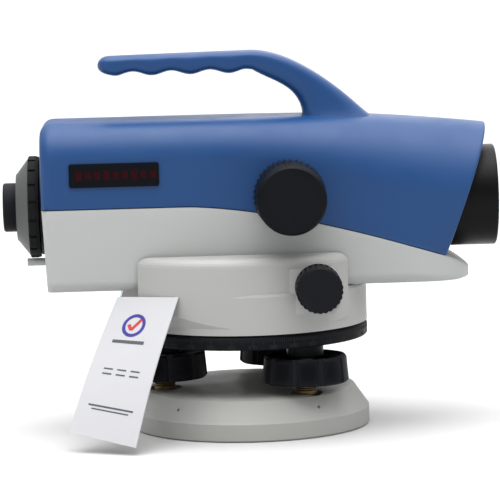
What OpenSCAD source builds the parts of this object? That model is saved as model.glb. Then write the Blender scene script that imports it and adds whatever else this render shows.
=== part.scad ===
// Automatic level on a three-screw levelling base.
// Origin: centre of the base seat on the vertical axis. +X to the objective, +Z up.
// The focusing knob is on the -Y side, the circular level on the +Y side.

/* [Telescope] */
// Height of the optical axis above the base seat
axis_z = 97; // [92:0.5:102]
// Outer radius of the objective barrel
barrel_r = 21.7; // [20:0.1:23]
// Front face of the objective barrel
barrel_front = 107.3; // [102:0.1:112]
// Outer radius of the main tube
tube_r = 16; // [15:0.1:17]

/* [Body shell] */
// Rear face of the upper cover
rear_x = -87.5; // [-92:0.5:-84]
// Half width of the housing
half_w = 31; // [28:0.5:34]
// Height of the flat top of the cover
top_z = 133.8; // [128:0.2:138]
// Underside of the lower body
floor_z = 62.5; // [60:0.5:64]
// Height of the joint between cover and body at the eyepiece end
seam_high = 98; // [94:0.5:100]
// Front tip of the lower body
nose_x = 95.2; // [90:0.2:100]
// Wall of the cover and body
wall = 2.6; // [2:0.1:4]

/* [Carry handle] */
// Height of the top of the grip
grip_top = 161; // [155:0.5:168]
// Free end of the grip
grip_end = -62.3; // [-70:0.5:-50]
// Width of the grip
grip_w = 18; // [14:0.5:24]

/* [Knobs] */
// Largest radius of the focusing knob
focus_r = 15.4; // [12:0.1:18]
// Position of the focusing knob along the telescope
focus_x = 17.5; // [10:0.5:25]
// Height of the focusing shaft
focus_z = 101.8; // [98:0.5:103]
// Radius of the fine-motion knobs
tangent_r = 9.8; // [8:0.1:12]
// Height of the check button, mm
button_z = 73.1; // [71:0.1:74]
// Radius of the check button, mm
button_r = 1.6; // [1.2:0.1:1.8]
// Position of the fine-motion shaft along the telescope
tangent_x = 28; // [26:0.5:30]
// Height of the fine-motion shaft
tangent_z = 64.5; // [64:0.1:65]

/* [Drum and circle] */
// Radius of the drum and of the circle ring
drum_r = 51; // [48:0.5:54]
// Underside of the drum
drum_z = 45; // [44.6:0.1:46]
// Top of the side pods
pod_top = 77; // [74:0.5:80]
// Underside of the circle ring
ring_z = 38.7; // [38:0.1:39.5]

/* [Levelling base] */
// Radius of the base plate
base_r = 51.2; // [48:0.5:56]
// Height of the flat top of the base plate
base_h = 17.5; // [16:0.5:20]
// Radius of the circle through the three foot screws
foot_pcd_r = 37.5; // [36:0.1:39]
// Largest radius of a foot-screw knob
foot_r = 18.4; // [16:0.1:20]
// Height of the ball centres
ball_z = 11; // [10.5:0.1:11.5]
// Radius of the 5/8 inch tripod thread bore
thread_r = 6.85; // [6.8:0.01:6.9]

/* [Hidden] */
$fn = 96;
eps = 0.01;
foot_a = -53;
foot_b = 67;
foot_c = 187;
feet = [foot_a, foot_b, foot_c];
fit = 0.05;

blue = [0.19, 0.33, 0.56];
grey = [0.70, 0.705, 0.70];
pale = [0.84, 0.84, 0.84];
charcoal = [0.19, 0.19, 0.21];
black = [0.10, 0.10, 0.12];
midgrey = [0.42, 0.43, 0.43];
brass = [0.78, 0.62, 0.32];
steel = [0.72, 0.72, 0.74];
alu = [0.80, 0.81, 0.82];
clear = [0.75, 0.85, 0.88, 0.5];
paper = [0.90, 0.90, 0.91];

// ---- shared shape functions of the housing ----
function clamp01(v) = min(1, max(0, v));
function ease(v) = v * v * (3 - 2 * v);
function seam_z(x) = x < -26 ? seam_high : seam_high - 0.0176 * pow(x + 26, 1.539);
function roof_z(x) = x < 25 ? top_z : top_z - 6.2 * pow((x - 25) / 78, 1.6);
function shell_w(x) = half_w - 0.4 * clamp01((x - rear_x) / 187);
function corner_r(x) = 16 + 13.9 * ease(clamp01((x + 20) / 110));
function nose_w(x) = x < 60 ? shell_w(x)
    : shell_w(60) * pow(1 - pow(min(0.9993, (x - 60) / (nose_x - 60)), 2.8), 1 / 2.8);
function front_x(z) = 92.4 + 0.3625 * (z - 97);
function tip_x() = 83.5;

// closed skin through rings of mirrored half contours; the ends are capped rung by rung
module skin(rings) {
    m = len(rings);
    n = len(rings[0]);
    pts = [for (r = rings) each r];
    sides = [for (i = [0:m - 2], j = [0:n - 1]) each [
        [i * n + j, (i + 1) * n + j, (i + 1) * n + (j + 1) % n],
        [i * n + j, (i + 1) * n + (j + 1) % n, i * n + (j + 1) % n]]];
    e = (m - 1) * n;
    cap_a = [for (j = [0:n / 2 - 2]) each [
        [j, j + 1, n - 2 - j], [j, n - 2 - j, n - 1 - j]]];
    cap_b = [for (j = [0:n / 2 - 2]) each [
        [e + j, e + n - 2 - j, e + j + 1], [e + j, e + n - 1 - j, e + n - 2 - j]]];
    polyhedron(points = pts, faces = concat(sides, cap_a, cap_b));
}

function mirror_ring(h) = concat(h, [for (k = [len(h) - 1:-1:0]) [h[k][0], -h[k][1], h[k][2]]]);
function upward(h) = [for (k = [len(h) - 1:-1:0]) h[k]];

// upper cover contour at station s, inset by e, from the joint line up to the roof
function cover_x(s, z) = rear_x + s * (front_x(z) - rear_x);
function seam_at(s, z, k) = k == 0 ? z : seam_at(s, seam_z(min(tip_x(), cover_x(s, z))), k - 1);
function cover_half(s, e, low) =
    let (xn = cover_x(s, 108))
    let (zs = seam_at(s, 90, 8) + 0.1)
    let (zl = low == 0 ? zs : zs - low)
    let (w = shell_w(xn) - e)
    let (rc = max(3, corner_r(xn) - e))
    let (zt = roof_z(xn) - e)
    let (zc = zt - rc)
    let (wn = nose_w(min(tip_x(), cover_x(s, zs))) - e)
    let (zr = 97 > zs + 1 ? 97 : zs + 1)
    concat(
        [for (k = [0:4]) let (z = zl + (zr - zl) * k / 4)
            [cover_x(s, max(z, zs)), w - (w - wn) * pow((zr - z) / (zr - zs), 2), z]],
        [for (k = [0:8]) let (a = 90 * k / 8, z = max(zc, zr + 0.5) + (zt - max(zc, zr + 0.5)) * sin(a))
            [cover_x(s, z), w - rc + rc * cos(a), z]]);

// lower body contour at x, inset by e, from the joint line down to the floor
function body_top(x) = x < tip_x() ? seam_z(x) - 0.1
    : seam_z(tip_x()) - 0.1 - 0.35 * (x - tip_x()) - 0.018 * pow(x - tip_x(), 2);
function body_x(x, z) = x + (seam_high - z) * 0.045 * clamp01((20 - x) / 107);
function lip_r(x) = 0.4 + 3.2 * clamp01((x - 83) / 10);
function body_half(x, e, up, floor, e2) =
    let (zt = body_top(x) + up)
    let (w = nose_w(x) - e - e2)
    let (zb = floor)
    let (rt = min(lip_r(x), w * 0.6, (zt - zb) * 0.4))
    let (rb = 5 - 2.4 * clamp01((x - 70) / 20) - e * 0.6)
    let (wb = max(0.8, w - 0.03 * (zt - zb)))
    let (rc = min(rb, wb * 0.6, (zt - zb) * 0.4))
    concat(
        [for (k = [0:3]) let (a = 90 * k / 3) let (z = zt - rt + rt * cos(a))
            [body_x(x, z), w - rt + rt * sin(a), z]],
        [for (k = [1:2]) let (z = zt - rt + (zb + rc - zt + rt) * k / 3)
            [body_x(x, z), w + (wb - w) * k / 3, z]],
        [for (k = [0:5]) let (a = 90 * k / 5) let (z = zb + rc - rc * sin(a))
            [body_x(x, z), wb - rc + rc * cos(a), z]]);

module bore_x(r, x0, x1, z) {
    translate([x0, 0, z])
        rotate([0, 90, 0])
            cylinder(r = r, h = x1 - x0);
}

module bore_y(r, y0, y1, x, z) {
    translate([x, y1, z])
        rotate([90, 0, 0])
            cylinder(r = r, h = y1 - y0);
}

// turned part about the optical axis, profile given as [radius, x]
module turned_x(profile) {
    translate([0, 0, axis_z])
        rotate([0, 90, 0])
            rotate_extrude()
                polygon(profile);
}

module lens_x(r, x0, x1, bulge0, bulge1) {
    turned_x(concat(
        [for (k = [0:8]) [r * k / 8, x0 - bulge0 * (1 - pow(k / 8, 2))]],
        [for (k = [8:-1:0]) [r * k / 8, x1 + bulge1 * (1 - pow(k / 8, 2))]]));
}

// ---- levelling base ----
module base_envelope() {
    rotate_extrude()
        polygon([[0, 3.5], [0, base_h], [base_r - 9, base_h], [base_r - 7.4, base_h - 0.3],
            [base_r - 6.2, base_h - 1], [base_r - 0.7, 8.3], [base_r, 7.4], [base_r, 0.6],
            [base_r - 0.6, 0], [47, 0], [47, 3.5]]);
}

module base_plate() {
    color(pale)
    difference() {
        union() {
            difference() {
                base_envelope();
                translate([0, 0, -1])
                    rotate_extrude()
                        polygon([[0, 0], [47.6, 0], [47.6, 8], [44.5, 12], [41, 14], [0, 14]]);
            }
            cylinder(r = 13, h = base_h - 1);
            intersection() {
                base_envelope();
                for (a = feet)
                    rotate(a)
                        translate([foot_pcd_r, 0, 4.4])
                            cylinder(r = 10, h = base_h - 5);
            }
            for (a = feet)
                rotate(a + 60)
                    translate([19, 0, 3.7])
                        cylinder(r = 4, h = 11);
        }
        translate([0, 0, -1])
            cylinder(r = thread_r, h = 15.5);
        for (a = feet)
            rotate(a)
                translate([foot_pcd_r, 0, 0])
                    cylinder(r = 7.3, h = 30);
        for (a = feet)
            rotate(a + 60)
                translate([19, 0, 0])
                    cylinder(r = 1.5, h = 11);
        for (a = [-118, 2])
            rotate(a - 10)
                translate([31, 0, base_h - 2])
                    cylinder(r = 0.9, h = 3);
        for (a = [-55, -132])
            rotate(a)
                translate([base_r - 4.3, 0, 11.4])
                    rotate([0, 45, 0])
                        cylinder(r = 0.7, h = 6);
    }
}

module spring_plate() {
    color(steel)
    difference() {
        translate([0, 0, 2.2])
            cylinder(r = 45, h = 1.5);
        for (a = feet)
            rotate(a + 60)
                translate([33, 0, 1])
                    cylinder(r = 7.5, h = 4);
        translate([0, 0, 1])
            cylinder(r = 13.5, h = 4);
        for (a = feet)
            rotate(a + 60)
                translate([19, 0, 1])
                    cylinder(r = 1.6, h = 4);
        for (a = feet)
            rotate(a)
                translate([foot_pcd_r, 0, 1])
                    cylinder(r = 3, h = 4);
    }
}

module spring_plate_screws() {
    color(steel)
    for (a = feet)
        rotate(a + 60)
            translate([19, 0, 0]) {
                difference() {
                    translate([0, 0, 0.5])
                        cylinder(r = 3, h = 1.7);
                    translate([-4, -0.4, 0])
                        cube([8, 0.8, 1.2]);
                }
                translate([0, 0, 2.2])
                    cylinder(r = 1.45, h = 8);
            }
}

module ball_sleeve(a) {
    rotate(a)
        translate([foot_pcd_r, 0, 0])
            difference() {
                union() {
                    translate([0, 0, ball_z])
                        sphere(r = 7);
                    translate([0, 0, ball_z])
                        cylinder(r = 4.6, h = base_h + 3.6 - ball_z);
                }
                for (k = [0:2])
                    translate([0, 0, base_h + 1.2 + 0.9 * k])
                        rotate_extrude()
                            polygon([[4.2, 0], [4.7, -0.4], [4.7, 0.4]]);
                cylinder(r = 3 + fit, h = 30);
                cylinder(r = 4.8, h = 6.6);
            }
}

module front_ball_sleeve() {
    color(brass)
        ball_sleeve(foot_a);
}

module rear_ball_sleeves() {
    color(brass) {
        ball_sleeve(foot_b);
        ball_sleeve(foot_c);
    }
}

module foot_stem(a) {
    color(steel)
    rotate(a)
        translate([foot_pcd_r, 0, 0]) {
            translate([0, 0, 5.3])
                cylinder(r = 4.4, h = 1);
            translate([0, 0, 6])
                cylinder(r = 3, h = 16);
            translate([0, 0, 21.5])
                cylinder(r = 4, h = 9.5);
            difference() {
                translate([0, 0, 31])
                    cylinder(r = 3.5, h = 10.3);
                for (k = [0:8])
                    translate([0, 0, 32.2 + k])
                        rotate_extrude()
                            polygon([[3.1, 0], [3.6, -0.35], [3.6, 0.35]]);
            }
        }
}

module foot_knob(a) {
    color(black)
    rotate(a)
        translate([foot_pcd_r, 0, 0])
            difference() {
                rotate_extrude()
                    polygon([[4, 21.5], [12, 21.5], [12.6, 22.1], [17.6, 22.1], [foot_r, 23],
                        [17.6, 32.6], [16.9, 33.5], [16, 33.5], [14.6, 32.9], [9.9, 31.6],
                        [9.9, 31], [4, 31]]);
                for (k = [0:9])
                    rotate(k * 36 + 18)
                        translate([foot_r + 0.75, 0, 21])
                            rotate([0, -4.4, 0])
                                cylinder(r = 1.7, h = 14, $fn = 24);
            }
}

module foot_stem_a() {
    foot_stem(foot_a);
}

module foot_stem_b() {
    foot_stem(foot_b);
}

module foot_stem_c() {
    foot_stem(foot_c);
}

module foot_knob_a() {
    foot_knob(foot_a);
}

module foot_knob_b() {
    foot_knob(foot_b);
}

module foot_knob_c() {
    foot_knob(foot_c);
}

// ---- levelling head and circle ----
module levelling_head() {
    color(black)
    difference() {
        union() {
            rotate_extrude()
                polygon([[0, 39.6], [44.9, 39.6], [45.6, 40.3], [45.6, 43.4], [0, 43.4]]);
            translate([0, 0, 43])
                cylinder(r = 15, h = 1.4);
        }
        translate([0, 0, 30])
            cylinder(r = 7, h = 30);
        for (a = feet)
            rotate(a)
                translate([foot_pcd_r, 0, 30])
                    cylinder(r = 6.6, h = 20);
    }
}

module head_sleeves() {
    color(charcoal)
    for (a = feet)
        rotate(a)
            translate([foot_pcd_r, 0, 0])
                difference() {
                    rotate_extrude()
                        polygon([[4.7, 33], [7.4, 33], [7.85, 33.5], [7.85, 39.6], [6.6, 39.6],
                            [6.6, 43.4], [4.7, 43.4]]);
                }
}

module spindle() {
    color(steel)
    union() {
        translate([0, 0, 39.8])
            cylinder(r = 7, h = 5);
        translate([0, 0, 44.4])
            cylinder(r = 9, h = 22.4);
        translate([0, 0, 66])
            cylinder(r = 6, h = 4.4);
    }
}

module spindle_nut() {
    color(steel)
    difference() {
        translate([0, 0, 67])
            cylinder(r = 11.5, h = 3);
        translate([0, 0, 66])
            cylinder(r = 6, h = 6);
        for (a = [0, 90])
            rotate(a)
                translate([-13, -1.2, 69])
                    cube([26, 2.4, 2]);
    }
}

module horizontal_circle() {
    color(charcoal)
    rotate_extrude()
        polygon([[46.2, ring_z + 0.5], [46.7, ring_z], [50.4, ring_z], [drum_r, ring_z + 0.6],
            [drum_r, ring_z + 4.8], [50.3, ring_z + 5.7], [38, ring_z + 5.7], [38, ring_z + 5.0],
            [46.2, ring_z + 5.0]]);
}

// ---- drum ----
module pod(side, inset) {
    intersection() {
        translate([-3, -side * 11.2, 0])
            rotate_extrude()
                polygon(concat([[0, drum_z], [61.7 - inset, drum_z]],
                    [for (k = [0:5]) let (a = 90 * k / 5)
                        [58 + 3.7 * cos(a) - inset, pod_top - inset - 3.7 + 3.7 * sin(a)]],
                    [[0, pod_top - inset]]));
        rotate_extrude()
            polygon([[0, drum_z], [drum_r - inset, drum_z], [drum_r - inset, drum_z + 3],
                [drum_r + 6 - inset, drum_z + 14], [drum_r + 6 - inset, pod_top],
                [0, pod_top]]);
        rotate([90, 0, 0])
            linear_extrude(height = 140, center = true)
                union() {
                    translate([-48 + inset, drum_z - 1])
                        square([90 - 2 * inset, pod_top - drum_z - 3 - inset]);
                    translate([-44 + inset, drum_z - 1])
                        square([82 - 2 * inset, pod_top - drum_z + 1 - inset]);
                    for (x = [-44 + inset, 38 - inset])
                        translate([x, pod_top - 4 - inset])
                            circle(r = 4);
                }
        translate([-60, side > 0 ? half_w + 0.5 + inset * 0.8 : -70, drum_z - 1])
            cube([120, 70 - half_w - 0.5 - inset * 0.8, 60]);
    }
}

module drum_housing() {
    color(pale)
    difference() {
        union() {
            rotate_extrude()
                polygon([[0, drum_z], [drum_r, drum_z], [drum_r, floor_z - 1.6], [drum_r - 0.5,
                    floor_z - 0.5], [drum_r - 1.6, floor_z], [0, floor_z]]);
            pod(-1, 0);
            pod(1, 0);
            for (side = [-1, 1])
                intersection() {
                    translate([8, side > 0 ? half_w + 2 : -47.5, 53])
                        cube([33, 45.5 - half_w, 19]);
                    bore_y(13.6, -60, 60, tangent_x - 3.4, 62.5);
                }
            intersection() {
                rotate([90, 0, 0])
                    linear_extrude(height = 50, center = true)
                        polygon([[-40, drum_z], [-57, drum_z], [-57.6, drum_z + 1.4],
                            [-53.5, floor_z - 0.6], [-52.6, floor_z], [-40, floor_z]]);
                translate([0, 0, 40])
                    linear_extrude(height = 30)
                        polygon([[-40, -26], [-46, -21.5], [-55, -15.5], [-57.4, -12.8],
                            [-58.6, -9.6], [-58.6, 9.6], [-57.4, 12.8], [-55, 15.5], [-46, 21.5],
                            [-40, 26]]);
            }
        }
        // hollow inside, leaving the top plate and the hub
        difference() {
            translate([0, 0, drum_z - 1])
                cylinder(r = drum_r - 3, h = 15);
            cylinder(r = 14, h = 100);
            for (a = [20, 160, 200, 340])
                rotate(a)
                    translate([40.5, 0, 0])
                        cylinder(r = 5, h = 100);
        }
        difference() {
            pod(-1, 3);
            cylinder(r = drum_r - 4, h = drum_z + 14);
        }
        difference() {
            pod(1, 3);
            cylinder(r = drum_r - 4, h = drum_z + 14);
        }
        // spindle bore
        cylinder(r = 9 + fit, h = 100);
        // index opening and the seat of its window
        translate([-55.5, 0, 54.2])
            rotate([0, -75.2, 0]) {
                cube([13, 18, 2.4], center = true);
                translate([0, 0, -6])
                    cube([10, 15, 14], center = true);
            }
        // fine-motion shaft bores
        bore_y(4.5, -49, -30, tangent_x, tangent_z);
        bore_y(4.5, 30, 49, tangent_x, tangent_z);
        bore_y(4.1, -34, 34, tangent_x, tangent_z);
        // seat of the circular level
        translate([-14, 41, 73])
            cylinder(r = 8.5, h = 10);
        for (a = [20, 160, 200, 340])
            rotate(a)
                translate([40.5, 0, 0]) {
                    cylinder(r = 2, h = 100);
                    cylinder(r = 3.6, h = 57);
                }
    }
}

module index_window() {
    color(clear)
    translate([-55.5, 0, 54.2])
        rotate([0, -75.2, 0])
            cube([12.8, 17.8, 2.2], center = true);
}

module body_screws() {
    color(steel)
    for (a = [20, 160, 200, 340])
        rotate(a)
            translate([40.5, 0, 0]) {
                difference() {
                    translate([0, 0, 53.6])
                        cylinder(r = 3.4, h = 3.4);
                    translate([0, 0, 53])
                        cylinder(r = 1.5, h = 2.4, $fn = 6);
                }
                translate([0, 0, 56.5])
                    cylinder(r = 1.95, h = 7.5);
            }
}

// ---- body shell ----
rear_steps = [0, 0.6, 1.6, 3.2, 5];
function round_in(d, r) = d >= r ? 0 : r - sqrt(r * r - (r - d) * (r - d));

cover_len = front_x(108) - rear_x;
cover_rings = concat(
    [for (d = rear_steps) mirror_ring(cover_half(d / cover_len, round_in(d, 5), 0))],
    [for (k = [1:15]) mirror_ring(cover_half((5 + (cover_len - 5) * k / 15) / cover_len, 0, 0))]);
cover_core = [for (k = [0:10]) mirror_ring(cover_half((3 + (cover_len - 6.4) * k / 10) / cover_len,
    wall, 6))];

grip_n = 28;
bend_n = 12;
function bez(a, b, c, d, t) = a * pow(1 - t, 3) + 3 * b * pow(1 - t, 2) * t
    + 3 * c * (1 - t) * t * t + d * pow(t, 3);
function sgn_pow(v, p) = (v < 0 ? -1 : 1) * pow(abs(v), p);
function grip_low(x) = grip_top - 8.6 + 0.9 - 0.9 * cos(360 * (x + 39) / 16.5)
    * clamp01((x + 60) / 6) * clamp01((8 - x) / 8);
function grip_high(x) = grip_top + 1.0 * clamp01((x + 58) / 60);
function bend_hi(t) = [bez(4, 22, 42, 55, t), bez(grip_top + 1, grip_top + 0.5, 145, 131.6, t)];
function bend_lo(t) = [bez(4, 13, 22.5, 24.2, t), bez(grip_low(4), 147.5, 147, 131.6, t)];
function grip_ring(hi, lo, h) = [for (k = [0:19]) let (a = 18 * k + 9)
    [(hi[0] + lo[0]) / 2 + (hi[0] - lo[0]) / 2 * sgn_pow(sin(a), 0.65),
     h * sgn_pow(cos(a), 0.65),
     (hi[1] + lo[1]) / 2 + (hi[1] - lo[1]) / 2 * sgn_pow(sin(a), 0.65)]];
function grip_ring2(hi, lo, h) = let (r = grip_ring(hi, lo, h))
    [for (k = [0:19]) r[(k + 15) % 20]];
function tip_f(x) = x > grip_end + 5 ? 1 : sqrt(max(0.02, 1 - pow((grip_end + 5 - x) / 5.05, 2)));
grip_rings = concat(
    [for (k = [0:grip_n]) let (u = k / grip_n)
        let (x = grip_end + (4 - grip_end) * (k < 5 ? u * (0.35 + 0.65 * k / 5) : u))
        let (m = (grip_high(x) + grip_low(x)) / 2, t = (grip_high(x) - grip_low(x)) / 2 * tip_f(x))
        grip_ring2([x, m + t], [x, m - t], grip_w / 2 * (0.35 + 0.65 * tip_f(x)))],
    [for (k = [1:bend_n]) let (t = k / bend_n)
        grip_ring2(bend_hi(t), bend_lo(t), grip_w / 2 + 2.6 * pow(t, 4))]);

module carry_grip() {
    m = len(grip_rings);
    n = 20;
    pts = [for (r = grip_rings) each r];
    sides = [for (i = [0:m - 2], j = [0:n - 1]) each [
        [i * n + j, (i + 1) * n + j, (i + 1) * n + (j + 1) % n],
        [i * n + j, (i + 1) * n + (j + 1) % n, i * n + (j + 1) % n]]];
    e = (m - 1) * n;
    cap_a = [for (j = [1:n - 2]) [0, j, j + 1]];
    cap_b = [for (j = [1:n - 2]) [e, e + j + 1, e + j]];
    polyhedron(points = pts, faces = concat(sides, cap_a, cap_b));
}

module upper_cover() {
    color(blue)
    difference() {
        union() {
            difference() {
                skin(cover_rings);
                skin(cover_core);
            }
            carry_grip();
        }
        bore_x(17, rear_x - 2, rear_x + 8, axis_z);
        bore_x(barrel_r + 0.4, 70, 120, axis_z);
        bore_y(6.6, -40, -20, focus_x, focus_z);
    }
}

body_rings = concat(
    [for (d = [0, 0.9, 2.5]) mirror_ring(upward(body_half(rear_x + 0.2 + d, 0, 0, floor_z,
        round_in(d, 2.5))))],
    [for (k = [1:8]) mirror_ring(upward(body_half(-84.8 + (56 + 84.8) * k / 8, 0, 0, floor_z, 0)))],
    [for (x = [60, 66, 71.5, 76, 80, 83.5, 87, 89.6, 91.6, 93.2, 94.3])
        mirror_ring(upward(body_half(x, 0, 0, floor_z + 0.8 * pow(clamp01((x - 84) / 11), 3), 0)))],
    [mirror_ring(upward(body_half(nose_x, 0, -0.8, floor_z + 1.3, 0)))]);
body_core = [for (x = [-84.2, -60, -30, 0, 20, 40, 60, 68, 74, 78])
    mirror_ring(upward(body_half(x, wall, 8, floor_z + wall, 0)))];

module body_ribs() {
    difference() {
        union() {
            translate([-14, -27, floor_z + 1])
                cube([4, 54, 30]);
            translate([52, -26, floor_z + 1])
                cube([4, 52, 19.6]);
            translate([-76, -27, floor_z + 1])
                cube([4, 54, 33.5]);
            translate([-52, -12, floor_z + 1])
                cube([3, 24, 15.5]);
            translate([-31, -12, floor_z + 1])
                cube([3, 24, 15.5]);
        }
        bore_x(tube_r, -20, 70, axis_z);
        bore_x(14.5, -90, -60, axis_z);
        bore_x(button_r + 0.4, -90, -70, button_z);
        translate([0, 0, 50])
            cylinder(r = 26, h = 24);
    }
}

module lower_body() {
    color(grey)
    difference() {
        union() {
            difference() {
                skin(body_rings);
                skin(body_core);
            }
            body_ribs();
        }
        bore_x(17, rear_x - 2, rear_x + 8, axis_z);
        bore_x(barrel_r + 0.4, 58, 120, axis_z);
        bore_x(button_r + fit, rear_x - 4, rear_x + 12, button_z);
        translate([0, 0, 55])
            cylinder(r = 25.5, h = 13);
        bore_y(3.4, -40, 40, tangent_x, tangent_z);
        translate([tangent_x - 5, -34, 60])
            cube([10, 68, 9.2]);
        for (a = [20, 160, 200, 340])
            rotate(a)
                translate([40.5, 0, 60])
                    cylinder(r = 2, h = 4.2);
    }
}

module nameplate() {
    color(black)
    translate([-56.2, -half_w + 0.02, 112.3])
        rotate([90, 0, 0])
            linear_extrude(height = 0.9)
                union() {
                    square([38, 8], center = true);
                    square([36, 10], center = true);
                    for (x = [-18, 18])
                        for (z = [-4, 4])
                            translate([x, z])
                                circle(r = 1);
                }
}

// paper tag: top edge wraps the drum, lower part hangs free and leans outward
function tag_p(u, v) =
    let (top = [-30.3 - 25.7 * u, -44.3 + 13.3 * u, 61.4 - 0.8 * u])
    let (low = [-49.7 - 27.5 * u, -74 + 13 * u, 3.2 + 5.2 * u])
    top + (low - top) * v + [-1.2, -2.4, 0] * sin(180 * v);
module inspection_tag() {
    nu = 8;
    nv = 10;
    d = [-0.32, -0.38, 0.02];
    n = nu + 1;
    g = n * (nv + 1);
    front = [for (j = [0:nv], i = [0:nu]) tag_p(i / nu, j / nv) + d];
    back = [for (j = [0:nv], i = [0:nu]) tag_p(i / nu, j / nv)];
    sheet = [for (j = [0:nv - 1], i = [0:nu - 1]) let (q = j * n + i) each [
        [q, q + 1, q + n + 1], [q, q + n + 1, q + n],
        [g + q, g + q + n + 1, g + q + 1], [g + q, g + q + n, g + q + n + 1]]];
    rims = concat(
        [for (i = [0:nu - 1]) each [[i, g + i, g + i + 1], [i, g + i + 1, i + 1]]],
        [for (i = [0:nu - 1]) let (q = nv * n + i) each [
            [q, g + q + 1, g + q], [q, q + 1, g + q + 1]]],
        [for (j = [0:nv - 1]) let (q = j * n) each [
            [q, g + q + n, g + q], [q, q + n, g + q + n]]],
        [for (j = [0:nv - 1]) let (q = j * n + nu) each [
            [q, g + q, g + q + n], [q, g + q + n, q + n]]]);
    color(paper)
        polyhedron(points = concat(front, back), faces = concat(sheet, rims));
}

// ---- telescope ----
module main_tube() {
    color(alu)
    difference() {
        turned_x([[12.55, -18], [tube_r, -18], [tube_r, 66], [12.55, 66]]);
        translate([-9, -18, focus_z - 6.4])
            cube([52, 8, 12]);
    }
}

module objective_barrel() {
    color(black)
        turned_x([[tube_r, 60], [21, 60], [barrel_r, 61], [barrel_r, barrel_front - 0.5],
            [barrel_r - 0.5, barrel_front], [20.6, barrel_front], [20.2, barrel_front - 1],
            [20.2, 91.5], [18.4, 91.5], [18.4, 66], [tube_r, 66]]);
}

module objective_crown() {
    color(clear)
        lens_x(20.15, 96, 97.8, 0, 2.2);
}

module objective_flint() {
    color(clear)
        lens_x(20.15, 91.6, 95.9, 0, 0);
}

module objective_retainer() {
    color(black)
        turned_x([[18.6, 98.25], [20.15, 98.25], [20.15, 101.4], [19.6, 101.4], [18.6, 99.6]]);
}

module focus_cell() {
    color(brass)
        turned_x([[10, 12], [12.5, 12], [12.5, 23], [10, 23], [10, 19.6], [9, 19.6], [9, 19],
            [10, 19]]);
}

module focus_lens() {
    color(clear)
        turned_x(concat([for (k = [0:8]) [9.95 * k / 8, 14 + 1.4 * (1 - pow(k / 8, 2))]],
            [for (k = [8:-1:0]) [9.95 * k / 8, 18.9 - 1.2 * (1 - pow(k / 8, 2))]]));
}

module focus_rack() {
    color(brass)
    difference() {
        union() {
            translate([focus_x - 14, -16.8, focus_z - 6])
                cube([28, 3.2, 2.9]);
            translate([focus_x - 4, -14, focus_z - 5.6])
                cube([8, 1.7, 2.2]);
        }
        for (k = [0:16])
            translate([focus_x - 13.4 + k * 1.6, -18, focus_z - 3.8])
                cube([0.8, 6, 2]);
        bore_x(12.5, 0, 40, axis_z);
    }
}

module focus_shaft() {
    color(steel) {
        bore_y(2, -58, -17, focus_x, focus_z);
        translate([focus_x, -13.4, focus_z])
            rotate([90, 0, 0])
                linear_extrude(height = 3.8)
                    polygon([for (k = [0:23]) let (r = k % 2 == 0 ? 2.9 : 2.2)
                        [r * cos(15 * k), r * sin(15 * k)]]);
    }
}

module focus_bushing() {
    color(brass)
    difference() {
        union() {
            bore_y(6, -31.6, -17.4, focus_x, focus_z);
            bore_y(9, -32.8, -31.2, focus_x, focus_z);
        }
        bore_y(2 + fit, -40, -10, focus_x, focus_z);
    }
}

module focus_knob() {
    color(black)
    translate([focus_x, -33.3, focus_z])
        rotate([90, 0, 0])
            difference() {
                intersection() {
                    linear_extrude(height = 26.7)
                        polygon([for (k = [0:151]) let (r = k % 4 < 2 ? focus_r : focus_r - 0.75)
                            [r * cos(360 * k / 152), r * sin(360 * k / 152)]]);
                    rotate_extrude()
                        polygon([[0, 0], [focus_r - 0.8, 0], [focus_r, 0.8], [14.5, 25.3],
                            [13.6, 26.7], [0, 26.7]]);
                }
                translate([0, 0, -1])
                    cylinder(r = 2, h = 25.7);
                translate([0, 0, -1])
                    cylinder(r = 10.5, h = 5);
            }
}

module tangent_shaft() {
    color(steel)
    difference() {
        union() {
            bore_y(2.5, -60, 60, tangent_x, tangent_z);
            bore_y(3.6, -9, 9, tangent_x, tangent_z);
        }
        for (k = [-8:8])
            translate([tangent_x, k, tangent_z])
                rotate([90, 0, 0])
                    rotate_extrude()
                        polygon([[3.0, 0], [3.7, -0.3], [3.7, 0.3]]);
    }
}

module tangent_bushings() {
    color(brass)
    for (s = [-1, 1])
        translate([tangent_x, s * 41.2, tangent_z])
            rotate([90, 0, 0])
                difference() {
                    cylinder(r = 4.5, h = 12.4, center = true);
                    cylinder(r = 2.5 + fit, h = 20, center = true);
                }
}

module tangent_knobs() {
    color(black)
    for (s = [0, 1])
        mirror([0, s, 0])
            translate([tangent_x, -48, tangent_z])
                rotate([90, 0, 0])
                    difference() {
                        rotate_extrude()
                            polygon([[2.5, 0], [tangent_r - 0.6, 0], [tangent_r, 0.6],
                                [tangent_r, 13.4], [tangent_r - 0.8, 14.2], [0, 14.2],
                                [0, 12], [2.5, 12]]);
                        for (k = [0:25])
                            rotate(360 * k / 26)
                                translate([tangent_r + 0.35, 0, 2.2])
                                    cylinder(r = 0.75, h = 20, $fn = 24);
                    }
}

module worm_wheel() {
    color(brass)
    difference() {
        translate([0, 0, 62.8])
            cylinder(r = 24, h = 3.8);
        cylinder(r = 9 + fit, h = 100);
        for (k = [0:79])
            rotate(4.5 * k)
                translate([23.4, -0.35, 60])
                    cube([2, 0.7, 10]);
    }
}

// ---- compensator ----
module compensator_frame() {
    color(alu)
    difference() {
        union() {
            for (s = [-1, 1])
                translate([-60, s > 0 ? 12.5 : -14.5, 79])
                    cube([38, 2, 38]);
            translate([-60, -14.5, 79])
                cube([2.5, 29, 38]);
            translate([-24.5, -14.5, 79])
                cube([2.5, 29, 38]);
            translate([-60, -14.5, 79])
                cube([1, 29, 2]);
            translate([-34, -14.5, 79])
                cube([12, 29, 2]);
        }
        bore_x(9, -64, -50, axis_z);
        bore_x(11, -30, -20, axis_z);
        bore_y(1.05, -20, 20, -40, 113.5);
    }
}

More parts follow.
